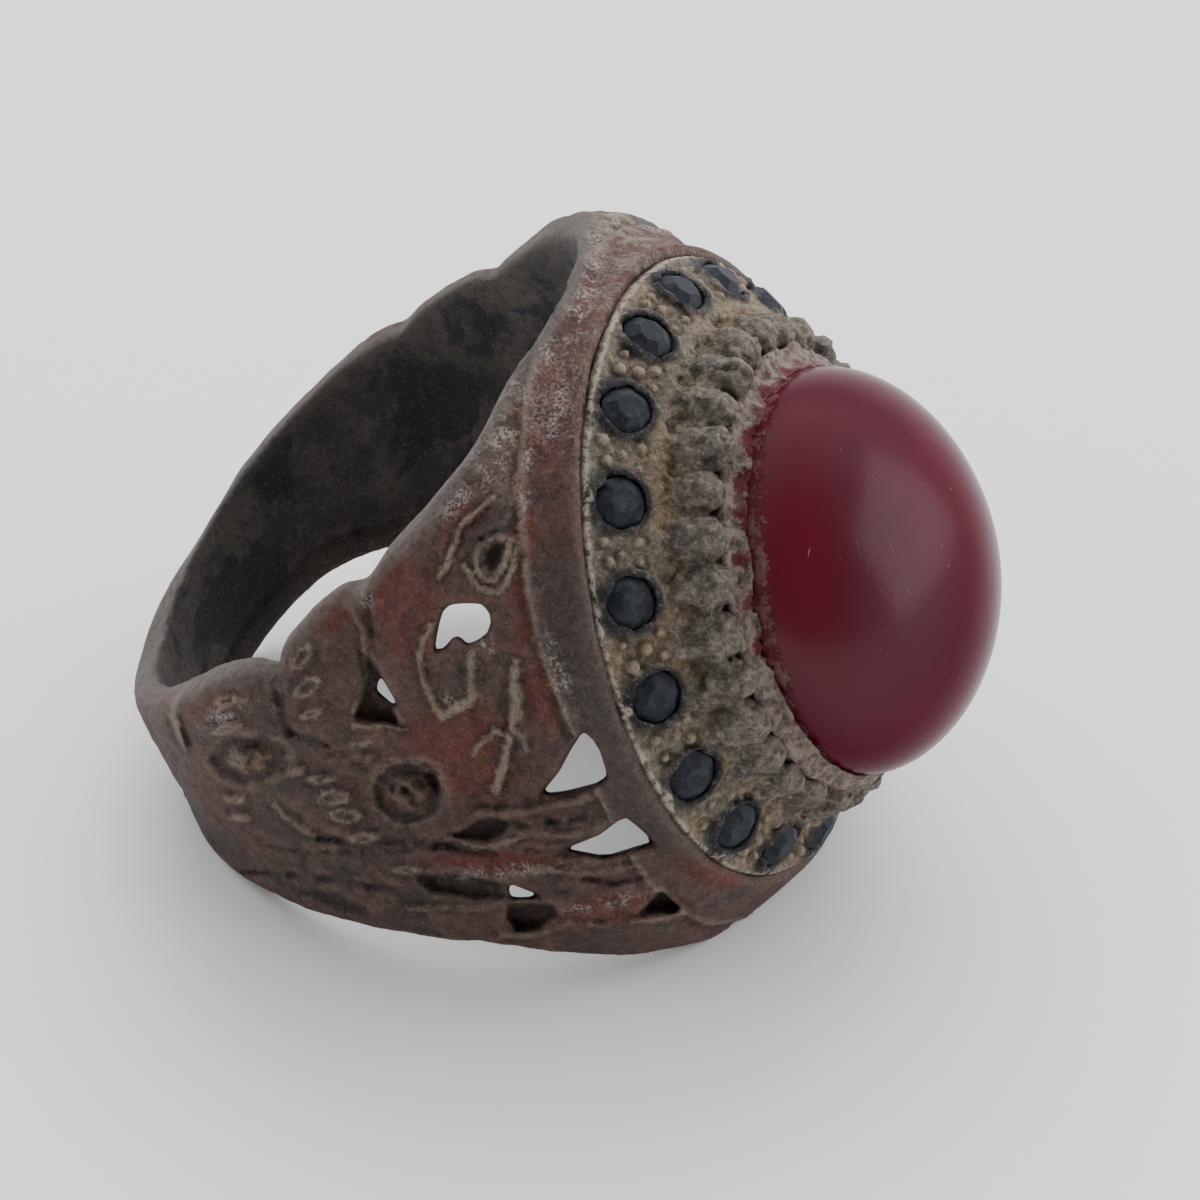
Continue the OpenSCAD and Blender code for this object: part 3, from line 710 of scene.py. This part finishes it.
def build_bedding():
    """Resin that fills the crown's cavity round the stone and has squeezed out as a crust."""
    voxel = 0.09
    corner = (-7.4, -7.5, 1.0)
    top = (8.0, 7.3, 4.6)
    x, y, z, shape = grid_of(corner, top, voxel)
    br = np.hypot(x - BEZEL_OFF[0], y - BEZEL_OFF[1])
    tr = np.hypot(x - THROAT_OFF[0], y - THROAT_OFF[1])
    play = 0.05  # between the bedding and the crown's walls
    crust_low, crust_top, film_low, film_top = 3.35, 3.6, 3.0, 4.1
    low = np.maximum(np.maximum(br - CAVITY_R + play, z - THROAT_H + play),
                     CAVITY_FLOOR + play - z)
    neck = np.maximum(np.maximum(tr - THROAT_R + play, z - 3.55), 2 - z)
    lumps = noise(shape, 7, 21) * 0.12 + noise(shape, 3.5, 22) * 0.07
    stone_d = stone_distance(x, y, z)
    # the crust has run out over the lobes, and a film clings to the stone's foot
    crust = np.maximum(tr - THROAT_R - 0.12, z - crust_top - 0.3 * (THROAT_R - tr)) - lumps
    film = np.maximum(stone_d - 0.12, np.maximum(z - film_top, film_low - z)) - lumps * 0.8
    body = smooth_min(np.broadcast_to(neck, shape), np.maximum(crust, crust_low - z), 0.2)
    body = np.minimum(smooth_min(body, film, 0.5), low)
    body = np.maximum(body, 0.03 - stone_d)
    thing, p = mesh_from_field("resin_crust", body, corner, voxel, HEAD_TO_WORLD, 0.01)
    # dirt lies in front of the lobes, clear red in the gaps between them
    beat = np.cos(LOBES * np.arctan2(p[:, 1] - BEZEL_OFF[1], p[:, 0] - BEZEL_OFF[0]))
    out = np.hypot(p[:, 0] - THROAT_OFF[0], p[:, 1] - THROAT_OFF[1])
    paint(thing, dirt=step(THROAT_R - 0.8, THROAT_R + 0.1, out + 0.15 * beat))
    return thing


def stone_distance(x, y, z):
    """About the distance to the cabochon; negative inside."""
    sr = np.hypot(x - STONE_OFF[0], y - STONE_OFF[1])
    up = np.clip((z - STONE_H) / DOME_H, 0, 1)
    dome_r = STONE_R * (1 - up ** DOME_POWER) ** (1 / DOME_POWER)
    foot_r = np.interp(z, [STONE_BOTTOM, STONE_WAIST, STONE_H],
                       [STONE_BOTTOM_R, STONE_WAIST_R, STONE_R])
    radius = np.where(z > STONE_H, dome_r, foot_r)
    return np.maximum(sr - radius, STONE_BOTTOM - z).astype(np.float32)


def build_stone():
    """Cabochon as a lathe of fine rings, a touch wider along the finger than across."""
    around, levels, wide, narrow = 160, 56, 1.012, 0.985
    rings = [(5.5, STONE_BOTTOM), (STONE_BOTTOM_R, 1.78), (STONE_WAIST_R, STONE_WAIST),
             (STONE_R - 0.06, 3.8)]
    for i in range(levels):
        t = math.radians(90 * i / levels)
        rings.append((STONE_R * math.cos(t) ** (2 / DOME_POWER),
                      STONE_H + DOME_H * math.sin(t) ** (2 / DOME_POWER)))
    turns = [2 * math.pi * k / around for k in range(around)]
    points = [(*STONE_OFF, STONE_BOTTOM)]
    points += [(STONE_OFF[0] + r * wide * math.cos(t), STONE_OFF[1] + r * narrow * math.sin(t), z)
               for r, z in rings for t in turns]
    points.append((*STONE_OFF, STONE_H + DOME_H))
    n = len(rings)
    faces = [(0, 1 + (k + 1) % around, 1 + k) for k in range(around)]
    for i in range(n - 1):
        a, b = 1 + i * around, 1 + (i + 1) * around
        faces += [(a + k, a + (k + 1) % around, b + (k + 1) % around, b + k)
                  for k in range(around)]
    last = 1 + (n - 1) * around
    faces += [(last + k, last + (k + 1) % around, len(points) - 1) for k in range(around)]
    placed = [tuple((HEAD_TO_WORLD @ Vector(p)) * MM) for p in points]
    thing = new_piece("red_cabochon", placed, faces)
    x, y, z = np.array(points).T
    turn = np.arctan2(y - STONE_OFF[1], x - STONE_OFF[0])
    # the film of resin reaches higher on one flank, and a painted glow of clearer red lies on another
    near_side = np.clip(np.cos(turn + math.radians(135)), 0, 1) ** 1.5
    glow_turn = (np.degrees(turn) - GLOW_TURN + 180) % 360 - 180
    paint(thing, film=0.5 + (4.05 + 0.5 * near_side - z) / 2,
          clear=hump(glow_turn, GLOW_SPREAD) * step(7.4, 5.6, z))
    return thing


# Materials

class Nodes:
    """A node tree with short calls for the few node kinds used here."""

    def __init__(self, name):
        self.material = bpy.data.materials.new(name)
        self.material.use_nodes = True
        self.tree = self.material.node_tree
        self.place = self.tree.nodes.new("ShaderNodeTexCoord").outputs["Object"]

    def put(self, node, inputs):
        """Puts numbers and colours on a node's own sockets, and links values to them."""
        for name, value in inputs.items():
            socket = node.inputs[name]
            if isinstance(value, bpy.types.NodeSocket):
                self.tree.links.new(value, socket)
            else:
                socket.default_value = (*value, 1) if socket.type == "RGBA" else value

    def add(self, kind, inputs, **settings):
        """A new node with the given inputs and properties."""
        node = self.tree.nodes.new(kind)
        for key, value in settings.items():
            setattr(node, key, value)
        self.put(node, inputs)
        return node

    def noise(self, size_mm, detail, rough, distortion=0, stretch=None):
        """Noise from 0 to 1 with features of about size_mm, narrower along stretched axes."""
        place = self.place
        if stretch:
            place = self.add("ShaderNodeVectorMath", {0: place, 1: stretch},
                             operation="MULTIPLY").outputs["Vector"]
        inputs = {"Scale": 1 / (size_mm * MM), "Detail": detail, "Roughness": rough,
                  "Distortion": distortion, "Vector": place}
        return self.add("ShaderNodeTexNoise", inputs).outputs["Fac"]

    def mask(self, name, *factors):
        """A painted mask, times each of the factors that follow its name."""
        value = self.add("ShaderNodeAttribute", {}, attribute_name=name).outputs["Fac"]
        for factor in factors:
            value = self.math("MULTIPLY", value, factor)
        return value

    def ragged(self, name, size_mm, swing):
        """A painted mask, shifted up and down by noise."""
        shift = self.math("SUBTRACT", self.noise(size_mm, 8, 0.75), 0.5)
        return self.math("ADD", self.mask(name), self.math("MULTIPLY", shift, swing))

    def fit(self, value, lo, hi, a=0, b=1):
        """Maps lo..hi to a..b, clamped."""
        inputs = {"Value": value, "From Min": lo, "From Max": hi, "To Min": a, "To Max": b}
        return self.add("ShaderNodeMapRange", inputs,
                        interpolation_type="SMOOTHSTEP").outputs["Result"]

    def math(self, op, a, b):
        """One step of arithmetic on numbers or values."""
        return self.add("ShaderNodeMath", {0: a, 1: b}, operation=op).outputs[0]

    def mix(self, amount, a, b):
        """Colour a where amount is 0, colour b where it is 1."""
        return self.add("ShaderNodeMix", {0: amount, 6: a, 7: b}, data_type="RGBA").outputs[2]

    def paint(self, col, *layers):
        """Lays colours over col, each given as (amount, colour)."""
        for amount, colour in layers:
            col = self.mix(amount, col, colour)
        return col

    def bumps(self, *layers):
        """Bumps of (height, depth in mm), each laid over those before it."""
        below = {}
        for height, depth_mm in layers:
            inputs = {"Height": height, "Distance": depth_mm * MM, **below}
            below = {"Normal": self.add("ShaderNodeBump", inputs).outputs["Normal"]}
        return below["Normal"]

    def shade(self, inputs):
        """Sets up the shader and gives the material."""
        self.put(self.tree.nodes["Principled BSDF"], inputs)
        return self.material


# A patina covers the metals, so they mirror little
PATINA_METALLIC = 0.1
PATINA_SPECULAR = 0.4


def cast_metal():
    """Old cast copper alloy: brown-grey patina, red copper where rubbed, pale crust on relief."""
    n = Nodes("patinated_copper_alloy")
    grit = n.noise(0.3, 6, 0.75)
    fine = n.noise(0.11, 5, 0.7)
    blotch = n.noise(1.5, 7, 0.7, 0.3)
    broad = n.noise(4.5, 5, 0.6)

    col = n.mix(n.fit(blotch, 0.4, 0.6), (0.056, 0.037, 0.031), (0.145, 0.084, 0.064))
    red = n.mask("red", n.fit(blotch, 0.3, 0.58, 0.3, 1), 0.9)
    grey = n.mask("collar", n.fit(blotch, 0.2, 0.6, 0.6, 1), 0.85)
    crust = n.mask("pale", n.fit(grit, 0.38, 0.5, 0.3, 1), 0.9)
    boss = n.mask("ochre", n.fit(n.noise(0.5, 6, 0.7), 0.44, 0.54), 0.85)
    # light scale clings in streaks
    patches = n.fit(n.noise(0.8, 7, 0.75, 0.5), 0.44, 0.56)
    scale = n.mask("scale", n.fit(fine, 0.43, 0.56), patches, 0.85)
    col = n.paint(
        col, (n.fit(broad, 0.42, 0.62, 0, 0.5), (0.15, 0.058, 0.04)),
        # red copper where rubbed, then the plain back, the greyer collar and the darker hollows and
        # grooves
        (red, (0.172, 0.024, 0.015)), (n.mask("back", 0.6), (0.12, 0.088, 0.074)),
        (grey, (0.07, 0.052, 0.046)), (n.mask("dark", 0.75), (0.04, 0.03, 0.026)),
        # painted shade in the pits and hollows and painted highlight on the bumps and edges, over the
        # casting's own grain
        (n.fit(grit, 0.49, 0.4, 0, 0.55), (0.034, 0.024, 0.02)),
        (n.fit(grit, 0.52, 0.62, 0, 0.3), (0.27, 0.15, 0.11)),
        (n.mask("edge", 0.4), (0.28, 0.19, 0.155)), (n.mask("hollow", 0.6), (0.028, 0.02, 0.017)),
        (crust, (0.37, 0.3, 0.215)), (boss, (0.29, 0.21, 0.122)),
        # the scale, and light and dark specks everywhere: partly the metal's own specks, partly
        # painted highlight on the fine bumps and painted shade in the fine pits
        (scale, (0.5, 0.44, 0.385)), (n.fit(fine, 0.54, 0.64, 0, 0.25), (0.36, 0.25, 0.2)),
        (n.fit(fine, 0.46, 0.36, 0, 0.5), (0.022, 0.016, 0.014)))
    # inside the finger hole: dull brown-grey with blue-black stains
    inside = n.mix(n.fit(blotch, 0.38, 0.62), (0.074, 0.064, 0.06), (0.185, 0.154, 0.137))
    stain = n.fit(n.noise(3.4, 4, 0.55, 0.4), 0.53, 0.57, 0, 0.8)
    inside = n.paint(inside, (stain, (0.026, 0.029, 0.044)),
                     # painted shade in the hollows and pits, and painted highlight on the fine bumps
                     (n.mask("hollow", 0.6), (0.02, 0.017, 0.017)),
                     (n.fit(fine, 0.53, 0.64, 0, 0.5), (0.27, 0.24, 0.22)),
                     (n.fit(grit, 0.48, 0.38, 0, 0.5), (0.03, 0.026, 0.027)))
    worn = n.mask("rim", n.fit(grit, 0.35, 0.6, 0.1, 0.7))
    col = n.paint(col, (n.mask("inner"), inside), (worn, (0.17, 0.145, 0.125)))
    return n.shade({"Base Color": col, "Metallic": PATINA_METALLIC,
                    "Roughness": n.fit(blotch, 0.3, 0.7, 0.5, 0.72),
                    "Specular IOR Level": PATINA_SPECULAR,
                    "Normal": n.bumps((blotch, 0.35), (grit, 0.32), (fine, 0.16))})


def crown_metal():
    """Dull brass with painted dark tan shade in the hollows and painted highlight on edges, greyer
    lobes and a rubbed edge.
    """
    n = Nodes("dull_brass")
    grit = n.noise(0.3, 6, 0.75)
    fine = n.noise(0.11, 5, 0.7)
    blotch = n.noise(1.3, 7, 0.7, 0.3)
    col = n.mix(n.fit(blotch, 0.38, 0.62), (0.15, 0.112, 0.076), (0.29, 0.228, 0.16))
    gold = n.fit(n.noise(2.6, 4, 0.6), 0.45, 0.6, 0, 0.7)
    grey = n.mix(n.fit(blotch, 0.4, 0.58), (0.07, 0.057, 0.048), (0.18, 0.152, 0.125))
    stain = n.mask("stain", n.fit(blotch, 0.4, 0.52), 0.9)
    soot = n.mask("soot", n.fit(n.noise(0.45, 6, 0.7), 0.36, 0.48))
    grain = n.mask("grain", n.fit(grit, 0.35, 0.5, 0.3, 0.8))
    rubbed = n.mask("pale", n.fit(grit, 0.45, 0.51, 0, 0.95))
    col = n.paint(
        col, (gold, (0.27, 0.18, 0.09)), (n.mask("lobe", 0.8), grey),
        # painted shade in the pits and hollows and painted highlight on the bumps and edges, over the
        # brass's own grain
        (n.fit(grit, 0.5, 0.38, 0, 0.6), (0.062, 0.048, 0.038)),
        (n.fit(grit, 0.52, 0.62, 0, 0.55), (0.44, 0.375, 0.3)),
        (n.mask("edge", 0.35), (0.38, 0.32, 0.265)), (n.mask("hollow", 0.5), (0.075, 0.056, 0.042)),
        # dark dirt round the stones, then the brighter grains and the rubbed edge
        (stain, (0.024, 0.026, 0.03)), (soot, (0.015, 0.017, 0.02)),
        (grain, (0.46, 0.35, 0.24)), (rubbed, (0.62, 0.54, 0.43)),
        # light and dark specks: partly the brass's own, partly painted highlight on the fine bumps and
        # painted shade in the fine pits
        (n.fit(fine, 0.54, 0.64, 0, 0.3), (0.48, 0.41, 0.32)),
        (n.fit(fine, 0.46, 0.36, 0, 0.55), (0.04, 0.031, 0.025)))
    return n.shade({"Base Color": col, "Metallic": PATINA_METALLIC,
                    "Roughness": n.fit(blotch, 0.3, 0.7, 0.48, 0.68),
                    "Specular IOR Level": PATINA_SPECULAR,
                    "Normal": n.bumps((blotch, 0.22), (grit, 0.3), (fine, 0.14))})


def red_crust():
    """Brittle crimson resin that squeezed out round the stone, under ragged brown dirt."""
    n = Nodes("red_resin_crust")
    grit = n.noise(0.32, 5, 0.65)
    blotch = n.noise(1.2, 5, 0.6)
    col = n.mix(n.fit(blotch, 0.44, 0.6), (0.072, 0.002, 0.008), (0.105, 0.03, 0.03))
    brown = n.mix(n.fit(grit, 0.42, 0.58), (0.085, 0.058, 0.048), (0.19, 0.145, 0.118))
    col = n.paint(col, (n.fit(n.ragged("dirt", 0.9, 2.6), 0.28, 0.5), brown),
                  # painted highlight on the crust's bumps and painted shade in its pits
                  (n.fit(grit, 0.56, 0.68, 0, 0.3), (0.21, 0.12, 0.11)),
                  (n.fit(grit, 0.42, 0.32, 0, 0.6), (0.04, 0.01, 0.012)))
    return n.shade({"Base Color": col, "Roughness": 0.55, "Specular IOR Level": 0.25,
                    "Normal": n.bumps((grit, 0.2))})


def red_stone():
    """Deep red cabochon, dulled by wear, with flakes of resin film round its foot."""
    n = Nodes("red_cabochon")
    cloud = n.noise(5, 3, 0.5)
    fine = n.noise(0.16, 3, 0.6)
    col = n.mix(n.fit(cloud, 0.35, 0.65), (0.056, 0.0026, 0.0105), (0.07, 0.0036, 0.0135))
    # one flank is painted a clearer deep red, a painted glow of light through the stone
    col = n.mix(n.mask("clear"), col, (0.094, 0.0008, 0.0085))
    film = n.fit(n.ragged("film", 0.8, 0.9), 0.5, 0.515)
    flake = n.mix(n.fit(n.noise(0.9, 6, 0.65), 0.46, 0.54), (0.07, 0.006, 0.012),
                  (0.125, 0.055, 0.052))
    flake = n.mix(n.fit(fine, 0.55, 0.68, 0, 0.4), flake, (0.24, 0.15, 0.14))
    col = n.mix(n.math("MULTIPLY", film, 0.85), col, flake)
    specks = n.fit(n.noise(0.16, 2, 0.5), 0.775, 0.8, 0, 0.6)
    scratches = n.fit(n.noise(0.9, 2, 0.5, stretch=(9, 1, 1.6)), 0.765, 0.79, 0, 0.6)
    col = n.mix(n.math("MAXIMUM", specks, scratches), col, (0.33, 0.22, 0.22))
    # the worn skin hardly mirrors at a glancing angle
    facing = n.add("ShaderNodeLayerWeight", {}).outputs["Facing"]
    return n.shade({"Base Color": col, "IOR": 1.48,
                    "Roughness": n.fit(film, 0, 1, 0.22, 0.55),
                    "Specular IOR Level": n.fit(facing, 0.12, 0.52, 0.24, 0.035),
                    "Normal": n.bumps((fine, 0.006), (film, 0.05))})


def dark_stone():
    """Nearly black stone with dull, dirty facets."""
    n = Nodes("dark_faceted_stone")
    dull = n.noise(0.5, 5, 0.65)
    grit = n.noise(0.13, 4, 0.7)
    col = n.mix(n.fit(dull, 0.42, 0.62), (0.005, 0.007, 0.01), (0.02, 0.024, 0.031))
    col = n.mix(n.fit(grit, 0.58, 0.7, 0, 0.5), col, (0.07, 0.068, 0.064))
    return n.shade({"Base Color": col, "Roughness": n.fit(dull, 0.3, 0.7, 0.52, 0.7),
                    "Specular IOR Level": 0.22, "Normal": n.bumps((dull, 0.02))})


def floor_material():
    """Plain off-white paper."""
    n = Nodes("pale_floor")
    return n.shade({"Base Color": (0.93, 0.93, 0.915), "Roughness": 0.7,
                    "Normal": n.bumps((n.noise(0.8, 4, 0.5), 0.01))})


# The pieces

def finish_piece(thing, node, material):
    """Gives a piece its material and its body, and hides the solid that it stands for."""
    thing.data.materials.clear()
    thing.data.materials.append(material)
    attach(thing, "root")
    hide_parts(node)


finish_piece(build_shank(), "shank", cast_metal())
finish_piece(build_crown(), "crown_plate", crown_metal())
finish_piece(build_bedding(), "resin_bedding", red_crust())
finish_piece(build_stone(), "main_stone", red_stone())
gem = dark_stone()
for i in range(SIDE_COUNT):
    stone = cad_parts["side_stone_%02d" % (i + 1)]
    stone.data.materials.clear()
    stone.data.materials.append(gem)


# Floor, light and camera
floor_z = cad_box[0][2]
bpy.ops.mesh.primitive_plane_add(size=4, location=(0, 0, floor_z))
floor = bpy.context.object
floor.name = "floor"
floor.data.materials.append(floor_material())

turn_world = RING_TO_WORLD.to_3x3()
CAMERA_BACK = (0.4672, -0.7528, 0.4637)

world = bpy.data.worlds.new("soft_room")
world.use_nodes = True
nodes, links = world.node_tree.nodes, world.node_tree.links
nodes["Background"].inputs["Color"].default_value = (0.90, 0.92, 0.95, 1)
# a white room that is darker on the side of whoever holds the camera
towards = nodes.new("ShaderNodeVectorMath")
towards.operation = "DOT_PRODUCT"
towards.inputs[1].default_value = turn_world @ Vector(CAMERA_BACK)
links.new(nodes.new("ShaderNodeTexCoord").outputs["Generated"], towards.inputs[0])
shade = nodes.new("ShaderNodeMapRange")
for key, value in (("From Min", -0.2), ("From Max", 0.85), ("To Min", 2.45), ("To Max", 0.56)):
    shade.inputs[key].default_value = value
links.new(towards.outputs["Value"], shade.inputs["Value"])
links.new(shade.outputs["Result"], nodes["Background"].inputs["Strength"])
bpy.context.scene.world = world

view_axes = [turn_world @ Vector(a) for a in (SLANT_X, SLANT_Y, CAMERA_BACK)]


def soft_light(name, right, up, back, size, power, colour, mirrored=True):
    """A soft panel facing the ring, placed in metres right, up and back as the camera sees it.

    Where mirrored is off, it lights the ring but makes no highlight.
    """
    lamp = bpy.data.lights.new(name, "AREA")
    lamp.shape = "RECTANGLE"
    lamp.size, lamp.size_y = size
    lamp.energy = power
    lamp.color = colour
    thing = bpy.data.objects.new(name, lamp)
    place = view_axes[0] * right + view_axes[1] * up + view_axes[2] * back
    thing.location = place
    thing.rotation_euler = (-place).to_track_quat("-Z", "Y").to_euler()
    thing.visible_glossy = mirrored
    bpy.context.scene.collection.objects.link(thing)


soft_light("window", 0.05, 0.55, -0.12, (0.55, 0.45), 2.5, (1, 0.99, 0.97), mirrored=False)
soft_light("wall", 0.575, 0.12, 0.07, (0.62, 0.75), 3.1, (0.98, 0.98, 1))

# The photograph's camera, in ring coordinates
CAMERA_PLACE = (153.7, -238.8, 146.7)
LENS = 294.3
axes = Matrix([SLANT_X, SLANT_Y, CAMERA_BACK]).transposed()
camera = bpy.data.objects.new("camera", bpy.data.cameras.new("camera"))
camera.data.lens = LENS
camera.data.sensor_width = 36
camera.data.clip_start = 0.01
camera.matrix_world = (Matrix.Translation(turn_world @ Vector(CAMERA_PLACE) * MM)
                       @ (turn_world @ axes).to_4x4())
bpy.context.scene.collection.objects.link(camera)
bpy.context.scene.camera = camera
